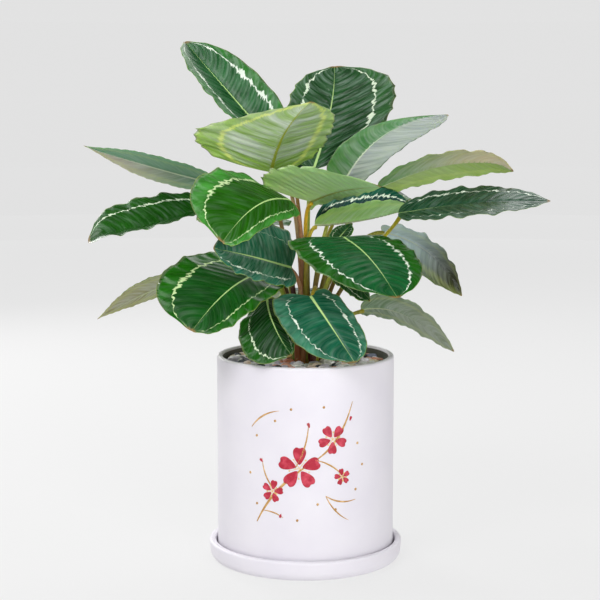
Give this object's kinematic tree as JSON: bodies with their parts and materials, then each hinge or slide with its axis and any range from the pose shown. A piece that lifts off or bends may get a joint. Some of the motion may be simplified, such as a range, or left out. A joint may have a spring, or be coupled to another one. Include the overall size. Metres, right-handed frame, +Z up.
{
  "type": "potted rose-painted calathea plant",
  "caption": "Round-leaved prayer plant with feathered cream leaf rings, standing in a straight white cylinder pot on a round saucer.",
  "frame": {"origin": "middle of the saucer's underside, on the surface it stands on", "axes": "+Z up, -Y towards the front, +X to the right seen from the front"},
  "size_m": [0.458, 0.2904, 0.5268],
  "materials": {
    "glazed_ceramic": "satin",
    "soil": "matte",
    "gravel": "matte",
    "rhizome": "matte",
    "leaf_blade": "satin",
    "leaf_stalk": "satin"
  },
  "bodies": {
    "root": {"saucer": "glazed_ceramic", "pot": "glazed_ceramic", "potting_soil": "soil", "gravel_layer": "gravel", "rhizome_crown": "rhizome", "blade_top_left": "leaf_blade", "petiole_top_left": "leaf_stalk", "blade_top_right": "leaf_blade", "petiole_top_right": "leaf_stalk", "blade_upper_front": "leaf_blade", "petiole_upper_front": "leaf_stalk", "blade_centre_front": "leaf_blade", "petiole_centre_front": "leaf_stalk", "blade_upper_right": "leaf_blade", "petiole_upper_right": "leaf_stalk", "blade_far_right": "leaf_blade", "petiole_far_right": "leaf_stalk", "blade_right_side": "leaf_blade", "petiole_right_side": "leaf_stalk", "blade_folded_right": "leaf_blade", "petiole_folded_right": "leaf_stalk", "blade_right_drooping": "leaf_blade", "petiole_right_drooping": "leaf_stalk", "blade_front_right": "leaf_blade", "petiole_front_right": "leaf_stalk", "blade_low_front_right": "leaf_blade", "petiole_low_front_right": "leaf_stalk", "blade_low_right": "leaf_blade", "petiole_low_right": "leaf_stalk", "blade_low_front_left": "leaf_blade", "petiole_low_front_left": "leaf_stalk", "blade_low_left": "leaf_blade", "petiole_low_left": "leaf_stalk", "blade_front_left": "leaf_blade", "petiole_front_left": "leaf_stalk", "blade_high_front_left": "leaf_blade", "petiole_high_front_left": "leaf_stalk", "blade_left_side": "leaf_blade", "petiole_left_side": "leaf_stalk", "blade_high_left": "leaf_blade", "petiole_high_left": "leaf_stalk", "blade_left_drooping": "leaf_blade", "petiole_left_drooping": "leaf_stalk", "blade_young_right": "leaf_blade", "petiole_young_right": "leaf_stalk", "blade_inner_right": "leaf_blade", "petiole_inner_right": "leaf_stalk", "blade_inner_left": "leaf_blade", "petiole_inner_left": "leaf_stalk", "blade_back_left": "leaf_blade", "petiole_back_left": "leaf_stalk", "blade_back_right": "leaf_blade", "petiole_back_right": "leaf_stalk", "blade_back_low": "leaf_blade", "petiole_back_low": "leaf_stalk", "blade_back_high": "leaf_blade", "petiole_back_high": "leaf_stalk", "blade_back_right_high": "leaf_blade", "petiole_back_right_high": "leaf_stalk"}
  },
  "joints": []
}
